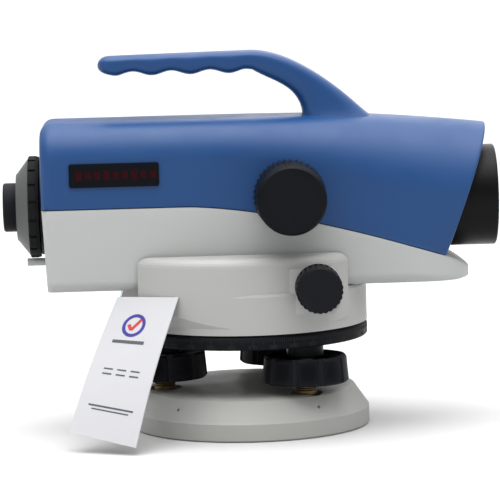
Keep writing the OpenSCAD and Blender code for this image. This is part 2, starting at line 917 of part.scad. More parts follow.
module fixed_prisms() {
    color(clear)
    for (x = [-56.5, -34])
        translate([x, 12.5, 0])
            rotate([90, 0, 0])
                linear_extrude(height = 25)
                    polygon([[0, 88], [8, 88], [8, 104], [0, 100]]);
}

module pendulum_yoke() {
    color(steel) {
        translate([-42, -11.4, 112])
            cube([4, 22.8, 3]);
        for (s = [-1, 1])
            translate([-42, s > 0 ? 9.9 : -11.4, 85])
                cube([4, 1.5, 28]);
        bore_y(1, -14.4, 14.4, -40, 113.5);
        translate([-46, -11.4, 84])
            cube([11, 22.8, 2]);
        translate([-56.9, -2.5, 84])
            cube([11, 5, 1.4]);
        translate([-56.9, -2.5, 72])
            cube([1, 5, 13.4]);
    }
}

module pendulum_prism() {
    color(clear)
    translate([0, 9.4, 0])
        rotate([90, 0, 0])
            linear_extrude(height = 18.8)
                polygon([[-45.5, 86], [-35.5, 86], [-35.5, 96], [-40.5, 102], [-45.5, 96]]);
}

module check_button() {
    color(grey)
        bore_x(button_r, -90.4, -60.4, button_z);
}

// ---- eyepiece end ----
module rear_tube() {
    color(black)
    difference() {
        turned_x([[12, -86], [14.5, -86], [14.5, -60.2], [12, -60.2]]);
        for (a = [0, 90, 180, 270])
            translate([-64.5, 0, axis_z])
                rotate([a, 0, 0])
                    translate([0, 0, 10])
                        cylinder(r = 1, h = 10);
    }
}

module reticle_ring() {
    color(brass)
        turned_x([[8, -66.5], [11.4, -66.5], [11.4, -62.5], [8, -62.5]]);
}

module reticle_glass() {
    color(clear)
        turned_x([[0, -65.4], [7.95, -65.4], [7.95, -63.9], [0, -63.9]]);
}

module reticle_screws() {
    color(steel)
    for (a = [0, 90, 180, 270])
        translate([-64.5, 0, axis_z])
            rotate([a, 0, 0])
                translate([0, 0, 11.4])
                    cylinder(r = 0.95, h = 4);
}

module eyepiece_sleeve() {
    color(black)
        turned_x([[10, -95.7], [13.4, -95.7], [13.4, -88.4], [20.4, -88.4], [20.6, -88.2],
            [20.6, rear_x], [14.4, rear_x], [14.4, -86.1], [11.95, -86.1], [11.95, -80],
            [10, -80]]);
}

module dioptre_ring() {
    color(midgrey)
        turned_x([[10.9, -98.7], [14.2, -98.7], [14.8, -98.1], [20.9, -93.4], [20.9, -88.8],
            [13.45, -88.8], [13.45, -96.2], [10.9, -96.2]]);
}

module grip_band() {
    color(black)
    difference() {
        turned_x([[20.9, -93.4], [21.6, -93.2], [21.9, -92.8], [21.9, -90.2], [21.5, -88.8],
            [20.9, -88.8]]);
        for (k = [0:17])
            translate([-94, 0, axis_z])
                rotate([20 * k, 0, 0])
                    translate([0, -0.7, 21.2])
                        cube([4, 1.4, 2]);
    }
}

module eyecup() {
    color(black)
        turned_x([[6.2, -104.5], [9.9, -104.5], [10.5, -103.9], [10.5, -97.4], [9.95, -97.2],
            [9.95, -84], [8.5, -84], [8.5, -103], [6.2, -103.4]]);
}

module eye_lens() {
    color(clear)
        lens_x(8.45, -101, -98.6, 1.4, 1.2);
}

// ---- circular level ----
module bubble_housing() {
    color(black)
    translate([-14, 41, 0])
        difference() {
            union() {
                translate([0, 0, 73])
                    cylinder(r = 8.5, h = 9);
                rotate_extrude()
                    polygon([[0, 77.05], [9.1, 77.05], [9.1, 85], [8.5, 85.8], [6, 85.8],
                        [6, 80], [0, 80]]);
            }
            translate([0, 0, 79])
                cylinder(r = 7, h = 6);
            translate([0, 0, 79])
                cylinder(r = 6, h = 12);
        }
}

module bubble_vial() {
    color(clear)
    translate([-14, 41, 0]) {
        translate([0, 0, 79.05])
            cylinder(r = 6.95, h = 5.9);
        translate([0, 0, 84])
            cylinder(r = 5.95, h = 1.5);
    }
}

module mirror_bracket() {
    color(grey)
    difference() {
        union() {
            for (y = [half_w + 0.1, 48.2])
                translate([-3.8, y, pod_top])
                    cube([4.6, 1.8, 14]);
            translate([-3.8, half_w + 0.7, pod_top])
                cube([4.6, 12, 1.5]);
            translate([-3.8, 43, pod_top])
                cube([4.6, 7, 1.5]);
        }
        bore_y(1.05, 30, 52, -1.5, 89);
    }
}

module mirror_frame() {
    color(black)
    translate([-1.5, 0, 89]) {
        bore_y(1, half_w + 0.3, 49.8, 0, 0);
        rotate([0, 45, 0])
            translate([-20, 33.4, -1])
                difference() {
                    cube([20.6, 14.4, 2]);
                    translate([1.4, 1.2, -1])
                        cube([16, 12, 1.8]);
                }
    }
}

module mirror_glass() {
    color([0.85, 0.87, 0.9])
    translate([-1.5, 0, 89])
        rotate([0, 45, 0])
            translate([-18.6, 34.6, -1.02])
                cube([16, 12, 0.8]);
}

base_plate();
spring_plate();
spring_plate_screws();
front_ball_sleeve();
rear_ball_sleeves();
foot_stem_a();
foot_stem_b();
foot_stem_c();
foot_knob_a();
foot_knob_b();
foot_knob_c();
levelling_head();
head_sleeves();
spindle();
spindle_nut();
horizontal_circle();
drum_housing();
index_window();
body_screws();
upper_cover();
lower_body();
nameplate();
inspection_tag();
main_tube();
objective_barrel();
objective_crown();
objective_flint();
objective_retainer();
focus_cell();
focus_lens();
focus_rack();
focus_shaft();
focus_bushing();
focus_knob();
tangent_shaft();
tangent_bushings();
tangent_knobs();
worm_wheel();
compensator_frame();
fixed_prisms();
pendulum_yoke();
pendulum_prism();
check_button();
rear_tube();
reticle_ring();
reticle_glass();
reticle_screws();
eyepiece_sleeve();
dioptre_ring();
grip_band();
eyecup();
eye_lens();
bubble_housing();
bubble_vial();
mirror_bracket();
mirror_frame();
mirror_glass();
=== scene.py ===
import math

import bmesh
import bpy
from mathutils import Matrix, Vector


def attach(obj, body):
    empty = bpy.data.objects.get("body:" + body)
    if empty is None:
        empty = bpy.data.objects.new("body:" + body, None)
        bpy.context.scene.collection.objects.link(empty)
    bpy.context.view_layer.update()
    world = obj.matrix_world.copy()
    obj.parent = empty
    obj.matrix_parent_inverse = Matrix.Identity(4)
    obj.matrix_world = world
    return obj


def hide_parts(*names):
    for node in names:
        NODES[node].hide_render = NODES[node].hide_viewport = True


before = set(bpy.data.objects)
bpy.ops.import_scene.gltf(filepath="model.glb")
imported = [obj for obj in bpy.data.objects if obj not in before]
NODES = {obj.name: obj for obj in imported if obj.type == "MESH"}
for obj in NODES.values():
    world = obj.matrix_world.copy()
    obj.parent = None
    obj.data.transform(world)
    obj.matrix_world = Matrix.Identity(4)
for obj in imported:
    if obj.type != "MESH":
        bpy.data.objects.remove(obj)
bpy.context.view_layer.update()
MM = 0.001


# ---------------------------------------------------------------- materials
class Mat:
    """A node material with fine grain, slow colour drift and, where asked, a painted highlight on
    its convex edges.
    """

    def __init__(self, name, color, rough=0.5, metal=0.0, grain=900.0, bump=0.06, drift=0.05,
                 rough_var=0.08, coat=0.0, spec=0.5, trans=0.0, ior=1.45):
        self.m = bpy.data.materials.new(name)
        self.m.use_nodes = True
        self.n = self.m.node_tree.nodes
        self.l = self.m.node_tree.links
        b = self.b = self.n["Principled BSDF"]
        b.inputs["Metallic"].default_value = metal
        b.inputs["Specular IOR Level"].default_value = spec
        b.inputs["Coat Weight"].default_value = coat
        b.inputs["Coat Roughness"].default_value = 0.2
        b.inputs["Transmission Weight"].default_value = trans
        b.inputs["IOR"].default_value = ior
        self.co = self.n.new("ShaderNodeTexCoord").outputs["Object"]
        slow = self.noise(22, 4, 0.6)
        fine = self.noise(grain, 3, 0.55)
        dark = [c * (1 - drift) for c in color]
        light = [min(1, c * (1 + drift * 0.8)) for c in color]
        self.color = self.mix(slow, dark, light)
        self.l.new(self.color, b.inputs["Base Color"])
        drifting = self.ramp(self.noise(60, 3, 0.6), rough - rough_var, rough + rough_var)
        self.l.new(drifting, b.inputs["Roughness"])
        if bump:
            self.relief(fine, bump, 0.0004)

    def relief(self, height, strength, distance):
        bp = self.n.new("ShaderNodeBump")
        bp.inputs["Strength"].default_value = strength
        bp.inputs["Distance"].default_value = distance
        self.l.new(height, bp.inputs["Height"])
        self.l.new(bp.outputs["Normal"], self.b.inputs["Normal"])

    def noise(self, scale, detail=3, rough=0.5, co=None):
        t = self.n.new("ShaderNodeTexNoise")
        t.inputs["Scale"].default_value = scale
        t.inputs["Detail"].default_value = detail
        t.inputs["Roughness"].default_value = rough
        self.l.new(co or self.co, t.inputs["Vector"])
        return t.outputs["Fac"]

    def ramp(self, fac, lo, hi, a=0.3, b=0.7):
        """Spreads fac from a..b to lo..hi."""
        r = self.n.new("ShaderNodeMapRange")
        r.inputs["From Min"].default_value = a
        r.inputs["From Max"].default_value = b
        r.inputs["To Min"].default_value = max(0.0, lo)
        r.inputs["To Max"].default_value = min(1.0, hi)
        self.l.new(fac, r.inputs["Value"])
        return r.outputs["Result"]

    def mix(self, fac, c0, c1):
        x = self.n.new("ShaderNodeMix")
        x.data_type = "RGBA"
        for sock, c in ((6, c0), (7, c1)):
            if isinstance(c, (list, tuple)):
                x.inputs[sock].default_value = (*c[:3], 1)
            else:
                self.l.new(c, x.inputs[sock])
        self.l.new(fac, x.inputs[0])
        return x.outputs[2]

    def brushed(self, axis):
        """Fine turned or brushed lines: noise stretched along one axis."""
        mp = self.n.new("ShaderNodeMapping")
        mp.inputs["Scale"].default_value = axis
        self.l.new(self.co, mp.inputs["Vector"])
        self.relief(self.noise(160, 5, 0.7, mp.outputs["Vector"]), 0.25, 0.0002)
        return self

    def worn(self, color, highlight_amount):
        """Painted highlight: a lighter colour on the mesh's sharp convex edges, picked out by its
        pointiness.
        """
        g = self.n.new("ShaderNodeNewGeometry")
        f = self.ramp(g.outputs["Pointiness"], 0, highlight_amount, 0.52, 0.60)
        self.color = self.mix(f, self.color, color)
        self.l.new(self.color, self.b.inputs["Base Color"])
        return self


def srgb(r, g, b):
    return [(c / 255) ** 2.2 for c in (r, g, b)]


M = {
    # the blue's lighter edge colour is a painted highlight along the rounded edges of cover and
    # handle
    "blue": Mat("blue_moulded_plastic", srgb(27, 63, 109), 0.38, grain=1500, bump=0.10, drift=0.04,
                spec=0.34).worn(srgb(80, 115, 165), 0.12),
    "grey": Mat("light_grey_paint", srgb(162, 164, 163), 0.46, grain=1800, bump=0.08, drift=0.025,
                spec=0.35),
    "pale": Mat("pale_paint", srgb(155, 155, 153), 0.45, grain=1800, bump=0.08, drift=0.02,
                spec=0.35),
    "base": Mat("base_paint", srgb(148, 148, 145), 0.5, grain=1300, bump=0.14, drift=0.03,
                spec=0.35),
    "charcoal": Mat("circle_anodised", srgb(20, 21, 24), 0.5, grain=1600, bump=0.08, drift=0.08,
                    spec=0.1),
    # the knobs' lighter edge colour is a painted highlight on their ridges and rims
    "knob": Mat("knob_moulded_black", srgb(15, 16, 19), 0.48, grain=1400, bump=0.16, drift=0.12,
                spec=0.08).worn(srgb(50, 51, 56), 0.3),
    "black": Mat("satin_black_metal", srgb(13, 13, 15), 0.36, grain=1700, bump=0.08, drift=0.12,
                 spec=0.14),
    "midgrey": Mat("dioptre_grey", srgb(72, 74, 74), 0.42, grain=1700, bump=0.08, drift=0.04,
                   spec=0.3),
    "rubber": Mat("black_rubber", srgb(24, 24, 25), 0.7, grain=900, bump=0.2, drift=0.15, spec=0.15),
    "brass": Mat("turned_brass", srgb(108, 92, 66), 0.5, metal=1.0, drift=0.1).brushed((1, 1, 40)),
    "steel": Mat("machined_steel", srgb(180, 182, 185), 0.32, metal=1.0,
                 drift=0.06).brushed((1, 1, 40)),
    "alu": Mat("machined_aluminium", srgb(198, 200, 203), 0.35, metal=1.0,
               drift=0.05).brushed((40, 1, 1)),
    "glass": Mat("optical_glass", srgb(210, 232, 235), 0.06, drift=0.03, rough_var=0.02, bump=0,
                 trans=0.85, ior=1.52, coat=0.6),
    "coated": Mat("coated_objective", srgb(70, 60, 110), 0.06, drift=0.25, rough_var=0.02, bump=0,
                  trans=0.35, ior=1.6, coat=1.0),
    "vial": Mat("spirit_vial", srgb(190, 225, 120), 0.08, drift=0.08, rough_var=0.03, bump=0,
                trans=0.6, ior=1.45, coat=0.6),
    "mirror": Mat("mirror_face", srgb(232, 236, 238), 0.05, metal=1.0, drift=0.02, rough_var=0.02,
                  bump=0.02),
    "gloss": Mat("nameplate_gloss", srgb(7, 10, 17), 0.25, grain=700, bump=0.02, drift=0.2,
                 rough_var=0.06, spec=0.12),
    "card": Mat("printed_card", srgb(174, 174, 177), 0.75, grain=2600, bump=0.14, drift=0.015,
                spec=0.2),
    "ink_grey": Mat("ink_grey", srgb(70, 72, 80), 0.7, grain=2600, bump=0.1, drift=0.2),
    "ink_blue": Mat("ink_blue", srgb(52, 48, 128), 0.7, grain=2600, bump=0.1, drift=0.1),
    "ink_red": Mat("ink_red", srgb(168, 50, 58), 0.7, grain=2600, bump=0.1, drift=0.1),
    "dim_red": Mat("dim_red_print", srgb(46, 6, 14), 0.5, grain=2600, bump=0.05, drift=0.3,
                   spec=0.08),
    "mark": Mat("engraved_marks", srgb(42, 43, 47), 0.6, grain=2600, bump=0.1, drift=0.2,
                spec=0.1),
    # dark colour painted as the shadow in the gap along the joint of cover and body
    "gasket": Mat("painted_seam_shadow", srgb(30, 38, 58), 0.7, grain=2000, bump=0.1, drift=0.2, spec=0.1),
}

# which material each CAD node shows
SHOW = {
    "blue": ["upper_cover"],
    "grey": ["lower_body", "check_button", "mirror_bracket"],
    "pale": ["drum_housing"],
    "base": ["base_plate"],
    "charcoal": ["horizontal_circle"],
    "knob": ["foot_knob_a", "foot_knob_b", "foot_knob_c", "focus_knob", "tangent_knobs",
             "mirror_frame", "bubble_housing", "eyecup"],
    "black": ["levelling_head", "head_sleeves", "objective_barrel", "objective_retainer",
              "rear_tube", "eyepiece_sleeve"],
    "midgrey": ["dioptre_ring"],
    "rubber": ["grip_band"],
    "brass": ["front_ball_sleeve", "rear_ball_sleeves", "focus_cell", "focus_rack",
              "focus_bushing", "tangent_bushings", "worm_wheel", "reticle_ring"],
    "steel": ["spring_plate", "spring_plate_screws", "foot_stem_a", "foot_stem_b", "foot_stem_c",
              "spindle", "spindle_nut", "body_screws", "focus_shaft", "tangent_shaft",
              "pendulum_yoke", "reticle_screws"],
    "alu": ["main_tube", "compensator_frame"],
    "glass": ["index_window", "objective_flint", "focus_lens", "fixed_prisms", "pendulum_prism",
              "reticle_glass", "eye_lens"],
    "coated": ["objective_crown"],
    "vial": ["bubble_vial"],
    "mirror": ["mirror_glass"],
    "gloss": ["nameplate"],
    "card": ["inspection_tag"],
}


def smooth(o, angle=32):
    for p in o.data.polygons:
        p.use_smooth = True
    o.data.set_sharp_from_angle(angle=math.radians(angle))


# the base's shallow edges stay crisp
EDGES = {"base_plate": 18}
for key, names in SHOW.items():
    for name in names:
        node = NODES[name]
        node.data.materials.clear()
        node.data.materials.append(M[key].m)
        smooth(node, EDGES.get(name, 32))

# thickness of printed and engraved marks, mm
INK = 0.04


def mesh_object(name, verts, faces, weld=False):
    """A linked object from millimetre points, with its normals facing outwards."""
    me = bpy.data.meshes.new(name)
    me.from_pydata([[c * MM for c in v] for v in verts], [], faces)
    bm = bmesh.new()
    bm.from_mesh(me)
    if weld:
        bmesh.ops.remove_doubles(bm, verts=bm.verts, dist=1e-6)
    bmesh.ops.recalc_face_normals(bm, faces=bm.faces)
    bm.to_mesh(me)
    bm.free()
    o = bpy.data.objects.new(name, me)
    bpy.context.scene.collection.objects.link(o)
    return o


def piece(name, verts, faces, mat, body, slot, repl=(), printed=False):
    """A new mesh piece from millimetre points; printed marks become thin closed patches."""
    o = mesh_object(name, verts, faces, weld=not printed)
    o.data.materials.append(M[mat].m)
    if printed:
        ink = o.modifiers.new("ink", "SOLIDIFY")
        ink.thickness = INK * MM
        ink.offset = 0
    else:
        smooth(o)
    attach(o, body)
    if repl:
        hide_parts(*repl)
    return o


# ---------------------------------------------------------------- housing shape, mm
AXIS = 97.0      # height of the telescope's axis
REAR = -87.5     # eyepiece end of the housing
HALF = 31.0      # half width at the eyepiece end
TOP = 133.8      # flat part of the roof
FLOOR = 62.5     # underside of the lower body
SEAM = 98.0      # joint between cover and body at the eyepiece end
NOSE = 95.2      # front end of the lower body
TIP = 83.5       # front end of the joint
WALL = 2.6
REAR_HOLE = 17   # radius of the opening for the eyepiece
FRONT_HOLE = 22.1


def clamp(v):
    return min(1.0, max(0.0, v))


def ease(v):
    return v * v * (3 - 2 * v)


def seam_z(x):
    """The joint drops towards the objective."""
    return SEAM if x < -26 else SEAM - 0.0176 * (x + 26) ** 1.539


def roof_z(x):
    return TOP if x < 25 else TOP - 6.2 * ((x - 25) / 78) ** 1.6


def shell_w(x):
    return HALF - 0.4 * clamp((x - REAR) / 187)


def corner_r(x):
    return 16 + 13.9 * ease(clamp((x + 20) / 110))


def nose_w(x):
    """Half width of the housing, drawn in to a rounded nose."""
    if x < 60:
        return shell_w(x)
    return shell_w(60) * (1 - min(0.9993, (x - 60) / (NOSE - 60)) ** 2.8) ** (1 / 2.8)


def front_x(z):
    """The cover's front edge leans forward towards the top."""
    return 92.4 + 0.3625 * (z - AXIS)


def cover_x(s, z):
    """Station s runs 0..1 from the eyepiece end to the leaning front edge."""
    return REAR + s * (front_x(z) - REAR)


def seam_at(s):
    z = 90
    for _ in range(9):
        z = seam_z(min(TIP, cover_x(s, z)))
    return z


def round_in(d, r):
    """How far an edge of radius r draws in at distance d from the end."""
    return 0.0 if d >= r else r - math.sqrt(r * r - (r - d) ** 2)


def cover_half(s, e):
    """Half of the cover's section set in by e, from the joint line up to the ridge."""
    ns = 14
    na = 20
    xn = cover_x(s, 108)
    zs = seam_at(s) + 0.1
    w = shell_w(xn) - e
    rc = max(3, corner_r(xn) - e)
    zt = roof_z(xn) - e
    zc = zt - rc
    wn = nose_w(min(TIP, cover_x(s, zs))) - e
    zr = max(AXIS, zs + 1)
    pts = []
    for k in range(ns):
        z = zs + (zr - zs) * k / (ns - 1)
        q = max(0.0, (zr - z) / (zr - zs))
        pts.append((cover_x(s, z), w - (w - wn) * q * q, z))
    z0 = max(zc, zr + 0.5)
    for k in range(1, 4):
        z = zr + (z0 - zr) * k / 4
        pts.append((cover_x(s, z), w, z))
    for k in range(na):
        a = math.pi / 2 * k / (na - 1)
        z = z0 + (zt - z0) * math.sin(a)
        pts.append((cover_x(s, z), w - rc + rc * math.cos(a), z))
    y = w - rc
    pts.append((cover_x(s, zt), y * 0.5, zt))
    return pts


def whole(half):
    """Half contour, ridge point, mirrored half."""
    x, y, z = half[-1]
    return half + [(x, 0.0, z)] + [(a, -b, c) for a, b, c in reversed(half)]


def arch(s, r, n, zs):
    """Inner contour of an end wall: a round-headed opening with n points from +Y over to -Y."""
    side = max(0.0, AXIS - zs)
    total = 2 * side + math.pi * r
    out = []
    for k in range(n):
        t = total * k / (n - 1)
        if t < side:
            y, z = r, zs + t
        elif t > total - side:
            y, z = -r, zs + (total - t)
        else:
            a = (t - side) / r
            y, z = r * math.cos(a), max(zs, AXIS + r * math.sin(a))
        out.append((cover_x(s, z), y, z))
    return out


def shell_mesh(stations):
    """Closed shell from stations of equal-length (outer, inner) open contours."""
    n = len(stations[0][0])
    ring = 2 * n
    verts = []
    for outer, inner in stations:
        verts += outer + list(reversed(inner))
    faces = []
    m = len(stations)
    for i in range(m - 1):
        for j in range(ring):
            a, b = i * ring + j, i * ring + (j + 1) % ring
            faces.append((a, b, b + ring, a + ring))
    for e in (0, (m - 1) * ring):
        for j in range(n - 1):
            faces.append((e + j, e + j + 1, e + ring - 2 - j, e + ring - 1 - j))
    return verts, faces


def cover_stations():
    """End wall, shell and rounded front lip, by distance d from the eyepiece end."""
    length = front_x(108) - REAR
    lip = 3.4
    st = []
    n = len(whole(cover_half(0, 0)))

    def outer(d, e):
        return whole(cover_half(d / length, e))

    def inner(d):
        return whole(cover_half(d / length, WALL))

    for d in (0, 0.15, 0.4, 0.8, 1.3, 1.9, 2.6, 3.0):
        st.append((outer(d, round_in(d, 5)), arch(d / length, REAR_HOLE, n, SEAM + 0.1)))
    for d in (3.02, 3.6, 4.2, 5.0):
        st.append((outer(d, round_in(d, 5)), inner(d)))
    steps = 46
    for k in range(1, steps):
        d = 5 + (length - 5 - lip) * k / steps
        st.append((outer(d, 0), inner(d)))
    d = length - lip
    st.append((outer(d, 0), inner(d)))
    for back, e in ((lip - 0.02, 0), (2.2, 0), (1.0, 0), (0.55, 0.08), (0.25, 0.28), (0.05, 0.62),
                    (0, 0.9)):
        d = length - back
        st.append((outer(d, e), arch(d / length, FRONT_HOLE, n, seam_at(d / length) + 0.1)))
    return st


def boolean(o, cutters):
    """Cuts the millimetre cutters out of o and applies the result."""
    for verts, faces in cutters:
        c = mesh_object("cut", verts, faces)
        md = o.modifiers.new("cut", "BOOLEAN")
        md.object = c
        md.operation = "DIFFERENCE"
        md.solver = "EXACT"
        solved = o.evaluated_get(bpy.context.evaluated_depsgraph_get())
        old = o.data
        new = bpy.data.meshes.new_from_object(solved)
        o.modifiers.clear()
        o.data = new
        bpy.data.meshes.remove(old)
        bpy.data.objects.remove(c)
    smooth(o)


def rod(axis, r, a, b, c0, c1, n=64):
    """Cylinder along an axis as (verts, faces): c0, c1 are the other two coordinates."""
    vs = []
    for t in (a, b):
        for k in range(n):
            u, v = r * math.cos(2 * math.pi * k / n), r * math.sin(2 * math.pi * k / n)
            vs.append({"x": (t, c0 + u, c1 + v), "y": (c0 + u, t, c1 + v),
                       "z": (c0 + u, c1 + v, t)}[axis])
    fs = [(k, (k + 1) % n, n + (k + 1) % n, n + k) for k in range(n)]
    fs += [tuple(range(n)), tuple(range(2 * n - 1, n - 1, -1))]
    return vs, fs


def block(lo, hi):
    """Box between two corners as (verts, faces)."""
    vs = [(x, y, z) for x in (lo[0], hi[0]) for y in (lo[1], hi[1]) for z in (lo[2], hi[2])]
    fs = [(0, 1, 3, 2), (4, 6, 7, 5), (0, 4, 5, 1), (2, 3, 7, 6), (0, 2, 6, 4), (1, 5, 7, 3)]
    return vs, fs


# focusing shaft, where its boss comes through the cover
FOCUS_X = 17.5
FOCUS_Z = 101.8
FOCUS_BORE = 6.6

verts, faces = shell_mesh(cover_stations())
cover = piece("cover_shell", verts, faces, "blue", "alidade", "blue_cover", ("upper_cover",))
boolean(cover, [rod("y", FOCUS_BORE, -40, -20, FOCUS_X, FOCUS_Z)])


# carry handle: grip with finger grooves, then a bend down onto the roof with a soft root
def bez(a, b, c, d, t):
    """Cubic Bezier curve through one coordinate."""
    return a * (1 - t) ** 3 + 3 * b * (1 - t) ** 2 * t + 3 * c * (1 - t) * t * t + d * t ** 3


GRIP_TOP = 161.0     # top of the grip at its free end
GRIP_END = -62.3     # free end
GRIP_DEEP = 7.7
GRIP_HALF = 9        # half width
END_R = 5            # rounding of the free end
BEND = 4             # where the straight grip starts to bend down
ROOT_Z = 131.6       # the handle runs on into the roof down to here
FINGERS = 16.5       # spacing of the finger grooves


def grip_low(x):
    groove = 0.9 * math.cos(2 * math.pi * (x + 39) / FINGERS)
    return GRIP_TOP - GRIP_DEEP - groove * clamp((x + 60) / 6) * clamp((8 - x) / 8)


def grip_high(x):
    return GRIP_TOP + clamp((x + 58) / 60)


def tip_f(x):
    """Thickness of the rounded free end as a share of the full grip."""
    if x > GRIP_END + END_R:
        return 1.0
    return math.sqrt(max(0.0, 1 - ((GRIP_END + END_R - x) / END_R) ** 2))


def spow(v, p):
    """Power that keeps the sign, for rounded-rectangle rings."""
    return math.copysign(abs(v) ** p, v)


def grip_ring(hi, lo, h):
    """Ring between an upper and a lower (x, z) point, h wide to each side."""
    n = 64
    p = 0.52
    out = []
    for k in range(n):
        a = 2 * math.pi * (k + 0.5) / n
        c, s = spow(math.cos(a), p), spow(math.sin(a), p)
        out.append(((hi[0] + lo[0]) / 2 + (hi[0] - lo[0]) / 2 * s, h * c,
                    (hi[1] + lo[1]) / 2 + (hi[1] - lo[1]) / 2 * s))
    return out


def end_rings():
    """The rounded free end."""
    rings = []
    for k in range(13):
        x = GRIP_END + END_R - END_R * math.cos(math.pi / 2 * k / 12) * 0.9999
        f = tip_f(x)
        m = (grip_high(x) + grip_low(x)) / 2
        t = (grip_high(x) - grip_low(x)) / 2 * max(f, 0.02)
        h = GRIP_HALF * (0.35 + 0.65 * f) * (1 if f > 0.05 else 0.5)
        rings.append(grip_ring((x, m + t), (x, m - t), h))
    return rings


def bend_rings():
    """The bend down onto the roof, flared where it meets it."""
    rings = []
    for k in range(1, 41):
        t = k / 40
        root = max(0.0, (t - 0.80) / 0.20) ** 3
        hi = (bez(BEND, 22, 42, 55, t) + 1.0 * root,
              bez(GRIP_TOP + 1, GRIP_TOP + 0.5, 145, ROOT_Z, t))
        lo = (bez(BEND, 14, 24.3, 25.8, t) - 0.6 * root,
              bez(grip_low(BEND), 147.5, 147, ROOT_Z, t))
        rings.append(grip_ring(hi, lo, GRIP_HALF + 2.6 * t ** 4 + 1.0 * root))
    return rings


def handle():
    rings = end_rings()
    x0 = GRIP_END + END_R
    for k in range(1, 100):
        x = x0 + (BEND - x0) * k / 99
        rings.append(grip_ring((x, grip_high(x)), (x, grip_low(x)), GRIP_HALF))
    rings += bend_rings()
    n = len(rings[0])
    vs = [v for r in rings for v in r]
    fs = [(i * n + j, i * n + (j + 1) % n, (i + 1) * n + (j + 1) % n, (i + 1) * n + j)
          for i in range(len(rings) - 1) for j in range(n)]
    fs += [tuple(range(n)), tuple(range(len(vs) - 1, len(vs) - n - 1, -1))]
    return vs, fs


piece("carry_grip", *handle(), "blue", "alidade", "blue_cover")


# ---------------------------------------------------------------- lower body
def body_top(x):
    if x < TIP:
        return seam_z(x) - 0.1
    return seam_z(TIP) - 0.1 - 0.35 * (x - TIP) - 0.018 * (x - TIP) ** 2


def body_x(x, z):
    """The rear wall leans in below the joint."""
    return x + (SEAM - z) * 0.045 * clamp((20 - x) / 107)


def lip_r(x):
    """Rounding of the upper edge, largest on the lip under the objective."""
    return 0.4 + 3.2 * clamp((x - 83) / 10)


def body_half(x, e, up, zb, tight=0.0):
    """Half of the body's section set in by e, from the joint down to its floor zb.

    The corner at the floor is smaller by tight.
    """
    nt = 7
    ns = 8
    nb = 10
    zt = body_top(x) + up
    w = nose_w(x) - e
    rt = min(lip_r(x), w * 0.6, (zt - zb) * 0.4)
    wb = max(0.8, w - 0.03 * (zt - zb))
    rc = min(5 - 2.4 * clamp((x - 70) / 20) - tight, wb * 0.6, (zt - zb) * 0.4)
    pts = []
    for k in range(nt):
        a = math.pi / 2 * k / (nt - 1)
        z = zt - rt + rt * math.cos(a)
        pts.append((body_x(x, z), w - rt + rt * math.sin(a), z))
    for k in range(1, ns):
        z = zt - rt + (zb + rc - zt + rt) * k / ns
        pts.append((body_x(x, z), w + (wb - w) * k / ns, z))
    for k in range(nb):
        a = math.pi / 2 * k / (nb - 1)
        z = zb + rc - rc * math.sin(a)
        pts.append((body_x(x, z), wb - rc + rc * math.cos(a), z))
    pts.append((body_x(x, zb), (wb - rc) * 0.5, zb))
    return pts


def hang(x, r, n):
    """Rounded notch of the rear wall, from +Y down under the axis to -Y."""
    out = []
    for k in range(n):
        a = math.pi * k / (n - 1)
        z = min(AXIS - r * math.sin(a), body_top(x))
        out.append((body_x(x, z), r * math.cos(a), z))
    return out


def lid(x, n):
    """Flat inner contour on the body's top, which makes the nose solid."""
    zt = body_top(x)
    w = body_half(x, 0, 0, FLOOR)[0][1]
    return [(body_x(x, zt), w * (1 - 2 * k / (n - 1)), zt) for k in range(n)]


def body_floor(x):
    return FLOOR + 0.8 * clamp((x - 84) / 11) ** 3


def body_stations():
    """Rear wall with its notch, open shell, then the solid nose."""
    st = []
    n = len(whole(body_half(0, 0, 0, FLOOR)))

    def outer(x, e=0.0):
        return whole(body_half(x, e, 0, body_floor(x)))

    for d in (0, 0.15, 0.45, 0.9, 1.5, 2.1, 2.5, 3.0):
        x = REAR + 0.2 + d
        st.append((outer(x, round_in(d, 2.5)), hang(x, REAR_HOLE, n)))
    xs = [REAR + 3.23, -80, -70, -60, -50, -40, -30, -22, -14, -6, 2, 10, 18, 26, 34, 42, 50, 56,
          60, 64, 67, 70, 72.5, 75, 77, 78.2]
    for x in xs:
        st.append((outer(x), whole(body_half(x, WALL, 0, FLOOR + WALL, WALL * 0.6))))
    for x in [78.22, 79.5, 81, 82.3, 83.5, 84.8, 86, 87.2, 88.3, 89.3, 90.2, 91, 91.8, 92.5, 93.1,
              93.6, 94.0, 94.35, 94.65, 94.9]:
        st.append((outer(x), lid(x, n)))
    st.append((whole(body_half(NOSE, 0, -0.8, FLOOR + 1.3)), lid(NOSE, n)))
    return st


# fine-motion shaft
TANGENT_X = 28
TANGENT_Z = 64.5

verts, faces = shell_mesh(body_stations())
lower = piece("body_shell", verts, faces, "grey", "alidade", "grey_paint", ("lower_body",))
boolean(lower, [
    rod("z", 25.5, 55, 68, 0, 0, 96),                        # the drum's boss
    rod("x", 1.65, -95, -70, 0, 73.1, 40),                   # check button
    rod("y", 3.4, -40, 40, TANGENT_X, TANGENT_Z, 40),        # fine-motion shaft
    block((TANGENT_X - 5, -34, 60), (TANGENT_X + 5, 34, 69.2)),
])


# painted shadow along the joint: one thin dark strip on each side stands in for the shade in the gap
# between cover and body
def reveal(side):
    vs = []
    fs = []
    n = 90
    x0 = REAR + 0.6
    for k in range(n + 1):
        x = x0 + (TIP - 0.4 - x0) * k / n
        z = seam_z(x)
        y = side * (nose_w(x) + 0.03)
        vs += [(x, y, z - 0.16), (x, y, z + 0.26), (x, y - side * 0.5, z + 0.26),
               (x, y - side * 0.5, z - 0.16)]
    for k in range(n):
        for j in range(4):
            a, b = 4 * k + j, 4 * k + (j + 1) % 4
            fs.append((a, b, b + 4, a + 4))
    fs += [(0, 1, 2, 3), (4 * n + 3, 4 * n + 2, 4 * n + 1, 4 * n)]
    return vs, fs


for tag, side in (("near", -1), ("far", 1)):
    piece("seam_shadow_" + tag, *reveal(side), "gasket", "alidade", "black_plastic")


